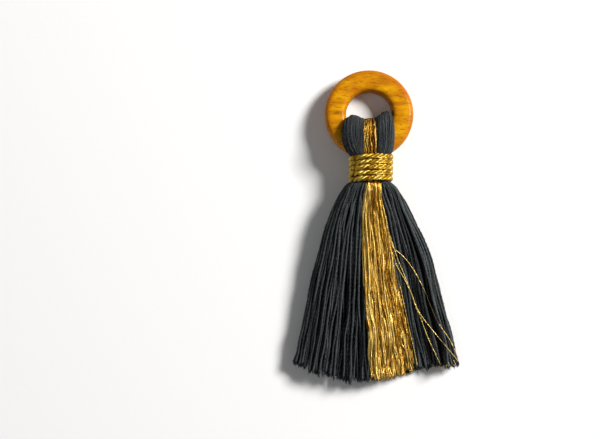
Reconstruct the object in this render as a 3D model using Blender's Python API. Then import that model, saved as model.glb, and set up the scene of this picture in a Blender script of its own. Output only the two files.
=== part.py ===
"""Ring-headed tassel, lying on its back.

A hank of soft cotton yarn is folded through a turned wooden ring. A narrower
hank of metallic thread lies in the middle of it, front and back. A twisted
metallic cord, wound round both just below the ring, makes the neck, and the
yarns fan out below it as a skirt.

+X is across the tassel, +Y runs from the skirt's tips to the ring, +Z is up
from the surface that the tassel lies on. The tables are in millimetres. "down"
is the distance below the ring's centre and x is measured from the neck's
axis; the finished pieces are centred on the origin at the very end.
"""

import math
from collections import namedtuple

import bmesh
import bpy
from mathutils import Matrix

MM = 0.001
GAP = 0.3  # between neighbouring pieces

# Wooden ring
RING_OUTER_D = 25.4
RING_HOLE_D = 13.2
RING_THICK = 5.5
RING_EDGE_ROUND = 1.5
RING_CROWN = 0.15  # how far its flat faces swell in the middle
RING_X = -0.5
RING_TILT = math.radians(8.3)  # its far rim lies on the surface
RING_STEPS = 56

# Neck binding: turns of cord wound round the folded hank
CORD_D = 1.58
TURNS = 5
BINDING_WIDE = 12.7
BINDING_DEEP = 12.0
BINDING_DOWN = 11.75  # its upper edge
BINDING_RISE_RIGHT = 0.3  # at its right side, from the middle
BINDING_RISE_FRONT = 0.6  # at its front, from the middle
BINDING_SQUARE = 2.4  # 2 is an ellipse, more is squarer
BINDING_STEPS = 48
BINDING_REACH = 12.0  # from its middle, how far its rise shows in the hank
RIB_STEPS = 4
RIB_VALLEY = 0.35  # share of the cord's radius, between two turns

# Metallic stripe
STRIPE_THICK = 1.2
STRIPE_COLUMNS = 4
STRIPE_VALLEY = 0.9  # how full the head is between its two lobes
LOBE_CURVE = 3  # how late a lobe falls away: more is squarer

# Fold of the hank through the ring
LOBE_TOP = -0.1
LOBE_OUTER_DROP = 3.6
LOBE_INNER_DROP = 1.0
STRIPE_TOP = 1.15
FOLD_Z = 5.5
FOLD_BENDS = (0.12, 0.3, 0.5, 0.72)  # shares of the quarter turn, 0 at the crest

# Skirt
EDGE_FULL = 0.3  # how thick an edge is beside the middle
SQUARENESS = 2.6  # of a cross-section: 2 is an ellipse
BACK_FLAT = 0.7  # the share of the skirt's width that lies flat
LOCK_TROUGH = 0.75  # depth of the furrow between two locks, at the tips
LOCK_CURVE = 4  # how late a lock falls away to its furrows
REACH_FROM = 0.5  # how loose the locks are where their lengths begin to differ
LOCK_COLUMNS = 3
CUT_LEAN = 0.5  # how far the cut end slopes from front to back

# One row for each cross-section, from the head to the skirt's tips. rise is how
# much higher its edges lie than its middle, lobed is 1 where it is two lobes and
# 0 where it is one mass, and loose is how far the locks have come apart.
Section = namedtuple(
    "Section",
    "down rise left stripe_left stripe_right right back front lobed loose",
)
SECTIONS = [
    Section(6.5, 0.0, -8.5, -2.35, 1.5, 6.65, 0.3, 12.0, 1.0, 0.0),
    Section(9.2, 0.0, -7.6, -2.45, 1.75, 6.4, 0.4, 11.8, 0.8, 0.0),
    Section(10.6, 0.0, -6.4, -2.4, 1.8, 6.0, 0.8, 11.3, 0.5, 0.0),
    Section(11.3, 0.0, -5.6, -2.2, 2.0, 5.4, 1.1, 10.9, 0.2, 0.0),
    Section(12.3, 0.0, -4.4, -2.0, 2.2, 4.4, 2.1, 9.9, 0.0, 0.0),
    Section(19.6, 0.0, -4.4, -1.75, 2.8, 4.4, 2.1, 9.9, 0.0, 0.0),
    Section(20.9, 0.0, -7.3, -1.9, 3.1, 6.8, 0.5, 11.0, 0.0, 0.1),
    Section(24.5, 0.2, -9.6, -2.5, 3.35, 9.3, 0.0, 10.9, 0.0, 0.2),
    Section(28.7, 0.4, -11.5, -2.85, 4.3, 11.2, 0.0, 10.5, 0.0, 0.3),
    Section(34.0, 0.7, -13.5, -2.85, 5.4, 13.8, 0.0, 9.9, 0.0, 0.4),
    Section(41.0, 1.3, -15.25, -2.65, 6.7, 16.8, 0.0, 9.3, 0.0, 0.5),
    Section(48.0, 2.0, -16.6, -2.45, 7.65, 18.65, 0.0, 8.8, 0.0, 0.6),
    Section(55.0, 2.7, -18.0, -2.05, 9.2, 19.9, 0.0, 8.3, 0.0, 0.7),
    Section(62.0, 3.4, -19.4, -1.2, 10.8, 22.0, 0.0, 7.8, 0.0, 0.8),
    Section(69.0, 4.1, -21.0, -0.9, 12.1, 24.1, 0.0, 7.2, 0.0, 0.9),
    Section(75.4, 4.7, -22.3, -0.2, 12.9, 25.5, 0.0, 6.6, 0.0, 1.0),
]

# One row for each lock of yarn, from the left edge to the right edge. share is
# its part of the width, height and reach are how far its tip stands out of the
# even shape, in thickness and in length.
Lock = namedtuple("Lock", "share height reach")
LEFT_LOCKS = [
    Lock(0.17, -0.2, 0.3),
    Lock(0.21, 0.3, 1.0),
    Lock(0.19, 0.0, 0.7),
    Lock(0.23, 0.4, 1.1),
    Lock(0.20, -0.1, 0.6),
]
RIGHT_LOCKS = [
    Lock(0.24, -1.7, -1.4),
    Lock(0.21, -1.1, -1.1),
    Lock(0.19, 0.5, -1.2),
    Lock(0.20, 0.7, 0.3),
    Lock(0.16, 0.0, 0.6),
]

# A place on the hank: a cross-section, and for the fold its share of the turn.
Station = namedtuple("Station", "section bend")
# A column of the hank: where it lies across, and the lock that it belongs to.
Column = namedtuple("Column", "x sunk lock across")


def clear_scene():
    for thing in list(bpy.data.objects):
        bpy.data.objects.remove(thing, do_unlink=True)


def finish_material(name, colour, roughness, metallic):
    material = bpy.data.materials.new(name)
    material.use_nodes = True
    shader = material.node_tree.nodes["Principled BSDF"]
    shader.inputs["Base Color"].default_value = (*colour, 1.0)
    shader.inputs["Roughness"].default_value = roughness
    shader.inputs["Metallic"].default_value = metallic
    return material


def make_object(name, bm, material, smooth_deg):
    """An object from a bmesh, its normals outward and its flat runs kept sharp."""
    bmesh.ops.recalc_face_normals(bm, faces=bm.faces)
    mesh = bpy.data.meshes.new(name)
    bm.to_mesh(mesh)
    bm.free()
    mesh.shade_smooth()
    mesh.set_sharp_from_angle(angle=math.radians(smooth_deg))
    mesh.materials.append(material)
    thing = bpy.data.objects.new(name, mesh)
    bpy.context.scene.collection.objects.link(thing)
    return thing


def add_loop(bm, points):
    """A closed loop of edges through points given in millimetres."""
    corners = [bm.verts.new([value * MM for value in point]) for point in points]
    pairs = zip(corners, corners[1:] + corners[:1])
    return corners, [bm.edges.new(pair) for pair in pairs]


def loft(bm, loops, closed=False):
    """Joins each loop of points to the next, and the last to the first if closed."""
    made = [add_loop(bm, points) for points in loops]
    pairs = list(zip(made, made[1:]))
    if closed:
        pairs.append((made[-1], made[0]))
    for (_, edges), (_, next_edges) in pairs:
        bmesh.ops.bridge_loops(bm, edges=edges + next_edges)
    return [corners for corners, _ in made]


def close_end(bm, corners):
    """Closes a loop whose second half runs back beside its first half."""
    count = len(corners) // 2
    back = corners[::-1]
    for i in range(count - 1):
        bm.faces.new((corners[i], corners[i + 1], back[i + 1], back[i]))


# ---------------------------------------------------------------- wooden ring


def turned_ring(grow):
    """The ring about its own centre, or one larger all round to cut with."""
    inner = RING_HOLE_D / 2 - grow
    outer = RING_OUTER_D / 2 + grow
    half = RING_THICK / 2 + grow
    middle = (inner + outer) / 2
    bm = bmesh.new()
    profile = [
        (inner, 0.0, -half),
        (middle, 0.0, -half - RING_CROWN),
        (outer, 0.0, -half),
        (outer, 0.0, half),
        (middle, 0.0, half + RING_CROWN),
        (inner, 0.0, half),
    ]
    corners, edges = add_loop(bm, profile)
    bmesh.ops.bevel(
        bm,
        geom=[corners[i] for i in (0, 2, 3, 5)],
        affect="VERTICES",
        offset=(RING_EDGE_ROUND + grow) * MM,
        offset_type="OFFSET",
        segments=3,
        profile=0.5,
        material=-1,
        clamp_overlap=False,
    )
    bmesh.ops.spin(
        bm,
        geom=bm.verts[:] + bm.edges[:],
        cent=(0.0, 0.0, 0.0),
        axis=(0.0, 0.0, 1.0),
        angle=2 * math.pi,
        steps=RING_STEPS,
        use_merge=True,
    )
    return bm


def place_ring(ring):
    """Tilts the ring back and sets its far rim on the surface."""
    tilt = Matrix.Rotation(-RING_TILT, 3, "X")
    lowest = min((tilt @ corner.co).z for corner in ring.data.vertices)
    ring.rotation_euler = tilt.to_euler()
    ring.location = (RING_X * MM, 0.0, -lowest)


# ------------------------------------------------------------- yarn and stripe


def spread_locks(locks, start, end):
    """The columns over one panel of the skirt: LOCK_COLUMNS steps to a lock."""
    total = sum(lock.share for lock in locks)
    columns = [Column(start, False, locks[0], 0.0)]
    edge = 0.0
    for lock in locks:
        for step in range(1, LOCK_COLUMNS + 1):
            across = step / LOCK_COLUMNS
            share = (edge + lock.share * across) / total
            columns.append(Column(start + (end - start) * share, False, lock, across))
        edge += lock.share
    return columns


def stripe_places(section, room):
    """x positions across the stripe, room wider than it on each side."""
    start = section.stripe_left - room
    width = section.stripe_right - section.stripe_left + 2 * room
    return [start + width * i / STRIPE_COLUMNS for i in range(STRIPE_COLUMNS + 1)]


def hank_columns(section):
    groove = stripe_places(section, GAP)
    return (
        spread_locks(LEFT_LOCKS, section.left, groove[0])
        + [Column(x, True, None, 0.5) for x in groove]
        + spread_locks(RIGHT_LOCKS, groove[-1], section.right)
    )


def width_place(section, column):
    """Where a column lies across the whole width, from -1 at the left to 1 at the right."""
    return 2 * (column.x - section.left) / (section.right - section.left) - 1


def lobe_place(section, column):
    """Where a column lies across its lobe, from -1 at the outer edge to 1 at the stripe."""
    if column.sunk:
        return None
    if column.x < section.stripe_left:
        return 2 * (column.x - section.left) / (section.stripe_left - section.left) - 1
    return 2 * (section.right - column.x) / (section.right - section.stripe_right) - 1


def crown(section, column, side):
    """How full the cross-section is at a column, from 0 to 1."""
    out = abs(width_place(section, column))
    if side < 0 and section.loose > 0.0:
        out = max(0.0, out - BACK_FLAT) / (1 - BACK_FLAT)
    dome = math.sqrt(max(0.0, 1 - out**SQUARENESS))
    place = lobe_place(section, column)
    if place is None:
        lobe = STRIPE_VALLEY
    elif place < 0:
        lobe = math.sqrt(max(0.0, 1 - abs(place) ** LOBE_CURVE))
    else:
        lobe = 1 - (1 - STRIPE_VALLEY) * place**LOBE_CURVE
    full = dome + (lobe - dome) * section.lobed
    return EDGE_FULL + (1 - EDGE_FULL) * full


def crest(section, column):
    """How far down the hank's fold has its crest at a column."""
    place = lobe_place(section, column)
    if place is None:
        return STRIPE_TOP
    drop = LOBE_OUTER_DROP if place < 0 else LOBE_INNER_DROP
    return LOBE_TOP + drop * abs(place) ** LOBE_CURVE


def lean(section, x, z):
    """How much a cross-section at the neck is raised, to lie level with the binding."""
    middle = BINDING_DOWN + TURNS * CORD_D / 2
    near = max(0.0, 1 - abs(section.down - middle) / BINDING_REACH)
    share = min(1.0, 2 * near)
    right = BINDING_RISE_RIGHT * x / (BINDING_WIDE / 2)
    front = BINDING_RISE_FRONT * (z - BINDING_DEEP / 2) / (BINDING_DEEP / 2)
    return share * (right + front)


def skin(station, column, depth, side):
    """A point of the hank, depth below its skin. side is 1 in front and -1 behind."""
    section = station.section
    middle = (section.front + section.back) / 2
    half = (section.front - section.back) / 2 * crown(section, column, side)
    down = section.down - section.rise * width_place(section, column) ** 2
    if column.lock:
        furrow = LOCK_TROUGH * abs(2 * column.across - 1) ** LOCK_CURVE
        if side > 0:
            half += (column.lock.height - furrow) * section.loose**2
        share = max(0.0, section.loose - REACH_FROM) / (1 - REACH_FROM)
        down += column.lock.reach * share
    z = middle + side * (half - depth)
    turn = station.bend * math.pi / 2
    top = crest(section, column) + depth
    down = top + (down - top) * (1 - math.cos(turn))
    z = FOLD_Z + (z - FOLD_Z) * math.sin(turn)
    if section.loose == 1.0:
        down -= CUT_LEAN * (1 - z / section.front)
    return (column.x, -down + lean(section, column.x, z), z)


def hank_stations():
    fold = [Station(SECTIONS[0], bend) for bend in FOLD_BENDS]
    return fold + [Station(section, 1.0) for section in SECTIONS]


def yarn_hank():
    """The folded black yarn: one mass with a groove for the stripe on each side."""
    depth = STRIPE_THICK + GAP
    loops = []
    for station in hank_stations():
        columns = hank_columns(station.section)
        front = [skin(station, c, depth * c.sunk, 1) for c in columns]
        back = [skin(station, c, depth * c.sunk, -1) for c in columns]
        loops.append(front + back[::-1])
    bm = bmesh.new()
    made = loft(bm, loops)
    close_end(bm, made[0])
    close_end(bm, made[-1])
    return bm


def stripe_hank():
    """The metallic thread: one strap from the front tips, over the fold, to the back."""
    stations = hank_stations()
    over = Station(SECTIONS[0], 0.0)
    path = [(station, 1) for station in stations[::-1]]
    path.append((over, 1))
    path += [(station, -1) for station in stations]
    loops = []
    for station, side in path:
        columns = [
            Column(x, True, None, 0.5) for x in stripe_places(station.section, 0.0)
        ]
        outer = [skin(station, c, 0.0, side) for c in columns]
        inner = [skin(station, c, STRIPE_THICK, side) for c in columns]
        loops.append(outer + inner[::-1])
    bm = bmesh.new()
    made = loft(bm, loops)
    close_end(bm, made[0])
    close_end(bm, made[-1])
    return bm


def cut_ring_way(hank, ring):
    """Leaves room in the hank for the band of the ring that it is folded over."""
    bm = turned_ring(GAP)
    cutter = make_object("ring_way", bm, hank.data.materials[0], 30)
    cutter.rotation_euler = ring.rotation_euler
    cutter.location = ring.location
    cutter.hide_render = True
    cutter.display_type = "WIRE"
    cut = hank.modifiers.new("ring_way", "BOOLEAN")
    cut.operation = "DIFFERENCE"
    cut.solver = "EXACT"
    cut.object = cutter
    return cutter


# --------------------------------------------------------------- neck binding


def squared(value):
    """A cosine or sine, bent so that a circle becomes the binding's fuller oval."""
    return math.copysign(abs(value) ** (2 / BINDING_SQUARE), value)


def binding_loop(inset, down):
    """One oval loop of the binding, inset from its outermost line."""
    points = []
    for step in range(BINDING_STEPS):
        turn = 2 * math.pi * step / BINDING_STEPS
        right = squared(math.cos(turn))
        front = squared(math.sin(turn))
        x = (BINDING_WIDE / 2 - inset) * right
        z = (BINDING_DEEP / 2 - inset) * front
        rise = BINDING_RISE_RIGHT * right + BINDING_RISE_FRONT * front
        points.append((x, -down + rise, BINDING_DEEP / 2 + z))
    return points


def wound_binding():
    """The turns of cord as one sleeve: a half-round rib outside for each turn."""
    radius = CORD_D / 2
    loops = [binding_loop(radius, BINDING_DOWN)]
    for turn in range(TURNS):
        centre = BINDING_DOWN + CORD_D * (turn + 0.5)
        for step in range(1, RIB_STEPS + 1):
            angle = math.pi * step / RIB_STEPS
            bulge = radius * math.sin(angle) if step < RIB_STEPS else 0.0
            between = step == RIB_STEPS and turn < TURNS - 1
            valley = RIB_VALLEY * radius if between else 0.0
            loops.append(
                binding_loop(radius - bulge - valley, centre - radius * math.cos(angle))
            )
    bottom = BINDING_DOWN + TURNS * CORD_D
    loops.append(binding_loop(CORD_D, bottom - radius))
    loops.append(binding_loop(CORD_D, BINDING_DOWN + radius))
    bm = bmesh.new()
    loft(bm, loops, closed=True)
    return bm


# -------------------------------------------------------------------- assembly


def centre_pieces(pieces):
    """Hangs the pieces on an empty that puts the middle of their box over the origin."""
    bpy.context.view_layer.update()
    lowest = [math.inf] * 3
    highest = [-math.inf] * 3
    graph = bpy.context.evaluated_depsgraph_get()
    for piece in pieces:
        seen = piece.evaluated_get(graph)
        for corner in seen.data.vertices:
            place = piece.matrix_world @ corner.co
            lowest = [min(a, b) for a, b in zip(lowest, place)]
            highest = [max(a, b) for a, b in zip(highest, place)]
    anchor = bpy.data.objects.new("tassel", None)
    bpy.context.scene.collection.objects.link(anchor)
    anchor.location = (
        -(lowest[0] + highest[0]) / 2,
        -(lowest[1] + highest[1]) / 2,
        -lowest[2],
    )
    return anchor


def main():
    clear_scene()
    wood = finish_material("stained_wood", (0.66, 0.26, 0.005), 0.38, 0.0)
    cotton = finish_material("black_cotton", (0.016, 0.018, 0.019), 0.9, 0.0)
    thread = finish_material("gold_thread", (0.42, 0.22, 0.045), 0.42, 0.6)
    cord = finish_material("gold_cord", (0.46, 0.31, 0.06), 0.32, 0.8)
    ring = make_object("ring", turned_ring(0.0), wood, 30)
    place_ring(ring)
    hank = make_object("yarn_hank", yarn_hank(), cotton, 50)
    stripe = make_object("stripe_hank", stripe_hank(), thread, 50)
    binding = make_object("binding", wound_binding(), cord, 50)
    cutter = cut_ring_way(hank, ring)
    pieces = [ring, hank, stripe, binding]
    anchor = centre_pieces(pieces)
    for thing in pieces + [cutter]:
        thing.parent = anchor


main()
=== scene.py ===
"""Looks of the ring-headed tassel: turned wood, spun yarn, metallic thread and cord.

Working sizes are in millimetres. "down" is the distance below the ring's centre,
x is measured from the neck's axis and z from the surface that the tassel lies on.
"""

import math
from collections import namedtuple

import bmesh
import bpy
import numpy as np
from mathutils import Matrix, Vector


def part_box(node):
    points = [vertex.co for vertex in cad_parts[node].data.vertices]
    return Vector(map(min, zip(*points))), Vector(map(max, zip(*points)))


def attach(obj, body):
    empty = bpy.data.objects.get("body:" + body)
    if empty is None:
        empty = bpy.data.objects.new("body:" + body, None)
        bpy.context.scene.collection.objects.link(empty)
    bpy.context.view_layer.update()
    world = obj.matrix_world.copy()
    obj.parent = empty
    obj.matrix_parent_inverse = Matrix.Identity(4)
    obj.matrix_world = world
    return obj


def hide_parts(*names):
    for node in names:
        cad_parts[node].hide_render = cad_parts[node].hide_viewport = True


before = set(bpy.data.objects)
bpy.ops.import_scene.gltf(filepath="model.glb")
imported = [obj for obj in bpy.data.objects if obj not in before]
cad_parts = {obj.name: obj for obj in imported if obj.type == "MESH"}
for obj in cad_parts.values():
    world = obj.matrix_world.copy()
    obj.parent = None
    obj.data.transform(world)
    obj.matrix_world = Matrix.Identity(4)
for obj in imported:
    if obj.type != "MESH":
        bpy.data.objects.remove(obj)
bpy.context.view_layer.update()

MM = 0.001
PI = math.pi
TONE_APART = 60.0  # keeps each strand's noise apart from the others'

RING_LOW, RING_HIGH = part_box("ring")
NECK_LOW, NECK_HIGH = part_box("binding")
RING_MIDDLE = (RING_LOW + RING_HIGH) / 2 / MM
NECK_X = (NECK_LOW.x + NECK_HIGH.x) / 2 / MM
RING_Y = RING_MIDDLE.y

# Wooden ring
RING_OUTER = (RING_HIGH.x - RING_LOW.x) / 2 / MM
RING_HOLE = 6.6
RING_THICK = 5.5
RING_EDGE_ROUND = 1.5
RING_CROWN = 0.15
RING_CROWN_ROUND = 0.9
RING_TILT = math.radians(8.3)
RING_STEPS = 160

# Cotton yarn
YARN_COUNT = 384
YARN_R = 0.32
YARN_LEAST_R = 0.25
YARN_PITCH = 3.4  # one turn of its two plies
YARN_SIDES = 5
SKIRT_STATIONS = 26  # cross-sections in which the yarns push each other apart
SKIRT_POINTS = 70
FIRST_ROUNDS = 160
ROUNDS = 40
PUSH = 0.36  # share of an overlap that a round takes away
GATHER = 0.03  # share of the way back to its own place across that a yarn goes in a round
LEVEL_PULL = 0.06  # and to its own height
FULLNESS = 0.8  # share of a cross-section that the yarns fill where they are tight
LOCK_DRAW = 0.3  # share of the way to the middle of its lock that a yarn's tip draws
UNEVEN_FROM = 0.6  # where along the skirt the unevenness of the cut begins
CUT_SPREAD = 0.32
TIP_TAPER = 0.75
FAR_AWAY = 99.0  # farther than any yarn is
FRONT_Z = 3.0  # yarns whose tips are above this belong to the front

# Metallic thread
THREAD_R = 0.18
THREAD_PITCH = 3.1
THREAD_SIDES = 5
SPREAD_PAINTED_LIGHT = 0.0011  # painted light: how much a thread's colour lightens with each millimetre along it, toward its spread tips, which catch more light
STRIPE_THICK = 1.2
STRIPE_BED = 0.8  # share of that by which the yarns under it give way
STRIPE_BED_EDGE = 0.6
STRIPE_LOCKS = 9
STRIPE_DRAW = 0.75  # how far the threads crowd into their locks
STRIPE_RIDGE = 0.3  # half of how high a lock stands
STRIPE_ROUND = 0.7  # how much thinner the stripe is at its edges
TIGHT_FREEDOM = 0.3  # how freely the threads lie where they are tight
STRIPE_UNEVEN_FROM = 0.8
FRONT_THREADS = 160
FRONT_POINTS = 116
BACK_THREADS = 60
BACK_POINTS = 60
CUT_SLANT = 2.0  # how much shorter the stripe's right edge is
STRAY_R = 0.09
STRAY_POINTS = 110
BRIDGE = 6  # points to each side over which a stray thread bridges a dip
BRIDGE_ROUNDS = 6
TUFT_THREADS = 34
TUFT_LEFT, TUFT_RIGHT = 17.0, 24.3
TUFT_MIDDLE = 19.0
TUFT_DOWN = 71.2
TUFT_SLOPE = 0.25
TUFT_POINTS = 6
TUFT_SIDES = 4

# Head
HEAD_YARN_R = 0.27
HEAD_YARN_PITCH = 2.6
HEAD_POINTS = 60
HEAD_EASING = 4  # rounds of clearing the ring and smoothing
LEFT_LAYERS = (22, 19, 15, 11, 8)  # yarns in each layer, from the outermost
RIGHT_LAYERS = (19, 16, 13, 9, 7)
LAYER_STEP = 1.7  # of a yarn's radius
LOBE_REACH = 0.97
LAYER_INSET = 0.11
GATHERS = (2.0, 1.9, 1.6, 1.25, 1.05, 1.0)  # how the yarns crowd to the stripe, up the head
STRIPE_LAYERS = (20, 17, 14)
STRIPE_LAYER_STEP = 0.35
STRIPE_HEAD_PITCH = 1.2
STRIPE_HEAD_POINTS = 120
FOLD_Z = 5.5
ARCH_DEGREES = (68, 46, 24)

# Binding
TURNS = 5
CORD_D = 1.58
CORD_LEAN = 0.6
CORD_LAY = 5.1  # one turn of its three plies
PLY_R = 0.41
PLIES = 3
PLY_PITCH = 1.9
PLY_SIDES = 12
CORD_POINTS = 1300
CORD_TUCK = 0.9  # how far the cord's ends sink into the neck
CORD_INSET = CORD_D / 2 - 0.05
BINDING_WIDE = (NECK_HIGH.x - NECK_LOW.x) / MM
BINDING_DEEP = (NECK_HIGH.z - NECK_LOW.z) / MM
BINDING_SQUARE = 2.4
BINDING_DOWN = 11.75

# Hairs of the cotton
CUT_FIBRES = 5  # at each cut end
SKIRT_FUZZ = 5600
HEAD_FUZZ = 1200
FIBRE_POINTS = 4
FIBRE_SIDES = 3
CUT_FIBRE_R = (0.09, 0.03)  # root and tip
FUZZ_R = (0.05, 0.025)
FLOOR_CLEAR = 0.1

# Shape of the skirt's cross-section
EDGE_FULL = 0.3  # its height at the edges, as a share of its middle
SQUARENESS = 2.6
BACK_FLAT = 0.7  # share of the back that lies flat
LEAST_THICK = 1.6

# Picture
FRAME_WIDE = 171.8  # of the surface, across the picture
FRAME_X = -21.9  # the picture's middle, from the tassel's
FRAME_Y = 1.6
FRAME_LEVEL = 6.0  # the height at which the picture is to scale
LENS = 120.0
SENSOR = 36.0

Section = namedtuple(
    "Section", "down rise left stripe_left stripe_right right back front loose"
)
SKIRT = [
    Section(16.5, 0.0, -4.3, -1.75, 2.6, 4.3, 2.2, 9.8, 0.0),
    Section(18.9, 0.0, -4.8, -1.75, 2.9, 4.7, 2.0, 10.1, 0.0),
    Section(20.0, 0.0, -6.9, -1.8, 3.0, 6.3, 0.8, 11.0, 0.05),
    Section(21.6, 0.0, -8.0, -2.0, 3.1, 7.5, 0.3, 11.2, 0.1),
    Section(24.5, 0.2, -9.7, -2.5, 3.35, 9.3, 0.0, 10.9, 0.2),
    Section(28.7, 0.4, -11.5, -2.85, 4.3, 11.2, 0.0, 10.5, 0.3),
    Section(34.0, 0.7, -13.5, -2.85, 5.4, 13.8, 0.0, 9.9, 0.4),
    Section(41.0, 1.3, -15.25, -2.65, 6.7, 16.8, 0.0, 9.3, 0.5),
    Section(48.0, 2.0, -16.6, -2.45, 7.65, 18.65, 0.0, 8.8, 0.6),
    Section(55.0, 2.7, -18.0, -2.05, 9.2, 19.9, 0.0, 8.3, 0.7),
    Section(62.0, 3.4, -19.4, -1.2, 10.8, 22.0, 0.0, 7.8, 0.8),
    Section(69.0, 4.1, -21.0, -0.9, 12.1, 24.1, 0.0, 7.2, 0.9),
    Section(75.4, 4.7, -22.3, -0.2, 12.9, 25.5, 0.0, 6.6, 1.0),
]

Lock = namedtuple("Lock", "share height reach")
LEFT_LOCKS = [
    Lock(0.17, -0.2, 0.3),
    Lock(0.21, 0.3, 1.0),
    Lock(0.19, 0.0, 0.7),
    Lock(0.23, 0.4, 1.1),
    Lock(0.20, -0.1, 0.6),
]
RIGHT_LOCKS = [
    Lock(0.24, -3.4, -1.4),
    Lock(0.21, -3.0, -1.1),
    Lock(0.19, -0.6, -1.2),
    Lock(0.20, 1.1, 0.3),
    Lock(0.16, 0.4, 0.6),
]

# One row for each level of the head, from under the binding to the widest part.
# edge_front and edge_back are where the outermost yarn of a lobe lies.
Fold = namedtuple(
    "Fold", "down left stripe_left stripe_right right front edge_front back edge_back"
)
HEAD = [
    Fold(14.5, -4.2, -1.9, 2.4, 4.2, 9.6, 6.4, 2.4, 5.0),
    Fold(12.4, -4.9, -2.2, 2.1, 4.7, 10.1, 6.6, 2.0, 4.4),
    Fold(11.0, -6.9, -2.4, 1.8, 6.1, 11.5, 7.6, 0.8, 3.0),
    Fold(8.8, -8.1, -2.45, 1.7, 6.6, 11.9, 8.6, 0.4, 2.7),
    Fold(5.8, -8.6, -2.3, 1.5, 6.7, 12.0, 9.0, 0.3, 2.5),
]
# The same across the fold itself. The lobes' tops and the stripe's say how high it is.
CREST = Fold(-0.1, -7.0, -2.0, 1.1, 6.1, FOLD_Z, FOLD_Z, FOLD_Z, FOLD_Z)
STRIPE_TOP_DOWN = 1.3

# The top of each lobe: where it is highest, from -1 at the outer edge to 1 at the stripe,
# how far below the ring's centre that is, and how far the two sides lie below it.
LobeTop = namedtuple("LobeTop", "place down outer_drop inner_drop")
LEFT_TOP = LobeTop(-0.28, -0.1, 2.0, 1.2)
RIGHT_TOP = LobeTop(-0.5, -1.3, 1.9, 2.3)

# One yarn of the left side was cut longer than the others.
LONE_END_X = -5.1
LONE_END_REACH = 2.3

# Loose metallic threads that strayed over the right side of the skirt.
Stray = namedtuple("Stray", "x down")
STRAYS = [
    Stray((5.5, 6.3, 9.15, 12.1, 15.1, 17.0, 19.3, 22.6, 24.9),
          (34.5, 38.0, 40.6, 44.4, 50.0, 54.5, 59.7, 64.6, 69.5)),
    Stray((6.3, 7.3, 9.5, 11.4, 13.2, 14.4, 16.3, 20.0),
          (38.5, 43.2, 47.0, 51.1, 56.0, 58.6, 63.8, 71.7)),
    Stray((6.0, 7.6, 9.5, 11.8, 13.6, 16.6, 20.0, 23.4, 25.0),
          (36.5, 41.4, 45.9, 51.8, 56.3, 60.5, 64.6, 68.7, 70.7)),
    Stray((6.1, 6.9, 7.9, 8.5, 9.0), (37.5, 42.0, 46.8, 52.8, 58.0)),
    Stray((6.4, 7.7, 9.3, 11.4, 12.6, 13.4), (39.5, 46.0, 53.5, 62.9, 68.0, 71.9)),
    Stray((10.6, 11.2, 12.1, 12.5), (58.5, 63.0, 68.5, 71.5)),
]


# --------------------------------------------------------------- shader values


class Wire:
    """A shader value: an output socket that takes part in arithmetic."""

    def __init__(self, tree, output=None):
        self.tree = tree
        self.output = output

    def node(self, kind, settings, values, pick=0):
        """Adds a node: its settings first, then its sockets' values or links."""
        made = self.tree.nodes.new("ShaderNode" + kind)
        for name, value in settings.items():
            if name == "stops":
                set_stops(made.color_ramp, value)
            else:
                setattr(made, name, value)
        for name, value in values.items():
            if isinstance(value, Wire):
                self.tree.links.new(value.output, made.inputs[name])
            else:
                made.inputs[name].default_value = value
        return Wire(self.tree, made.outputs[pick])

    def maths(self, operation, *terms):
        return self.node("Math", {"operation": operation}, dict(enumerate(terms)))

    def __add__(self, other):
        return self.maths("ADD", self, other)

    __radd__ = __add__

    def __mul__(self, other):
        return self.maths("MULTIPLY", self, other)

    __rmul__ = __mul__

    def __sub__(self, other):
        return self.maths("SUBTRACT", self, other)

    def __rsub__(self, other):
        return self.maths("SUBTRACT", other, self)

    def sine(self):
        return self.maths("SINE", self)

    def cosine(self):
        return self.maths("COSINE", self)

    def mix(self, first, second):
        """A colour between two, with this value as the share of the second."""
        return self.node(
            "Mix",
            {"data_type": "RGBA"},
            {"Factor": self, "A": first, "B": second},
            pick="Result",
        )


def set_stops(ramp, stops):
    """Gives a colour ramp its stops, as (place, grey or colour) pairs."""
    while len(ramp.elements) > 1:
        ramp.elements.remove(ramp.elements[-1])
    for i, (place, colour) in enumerate(stops):
        element = ramp.elements[0] if i == 0 else ramp.elements.new(place)
        element.position = place
        element.color = colour if isinstance(colour, tuple) else (colour,) * 3 + (1.0,)


def rgb(red, green, blue):
    return (red, green, blue, 1.0)


def new_material(name, **constants):
    """A material, its Principled shader with constant inputs set, and a Wire."""
    material = bpy.data.materials.new(name)
    material.use_nodes = True
    shader = material.node_tree.nodes["Principled BSDF"]
    for key, value in constants.items():
        shader.inputs[key.replace("_", " ")].default_value = value
    return material, shader, Wire(material.node_tree)


def feed(wire, shader, **values):
    """Links values to the shader's inputs of the same names."""
    for key, value in values.items():
        wire.tree.links.new(value.output, shader.inputs[key.replace("_", " ")])


def noise(wire, place, scale, detail=3.0, roughness=0.55):
    """Noise with so many grains to the metre."""
    return wire.node(
        "TexNoise",
        {"noise_dimensions": "3D"},
        {"Vector": place, "Scale": scale, "Detail": detail, "Roughness": roughness},
    )


def ramp(wire, value, *stops):
    """A colour or grey that changes with a value, between (place, colour) stops."""
    return wire.node("ValToRGB", {"stops": stops}, {"Fac": value})


def bump(wire, height, strength, distance):
    """A normal for relief of so many metres at full height."""
    return wire.node(
        "Bump", {}, {"Height": height, "Strength": strength, "Distance": distance}
    )


def attribute(wire, name):
    return wire.node("Attribute", {"attribute_name": name}, {}, pick="Fac")


def object_place(wire):
    return wire.node("TexCoord", {}, {}, pick="Object")


def strand_map(wire):
    """Along a strand in millimetres, and around it as an angle."""
    both = wire.node("UVMap", {"uv_map": "strand"}, {})
    along = wire.node("SeparateXYZ", {}, {"Vector": both}, pick="X")
    around = wire.node("SeparateXYZ", {}, {"Vector": both}, pick="Y")
    return along, around * (2 * PI)


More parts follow.
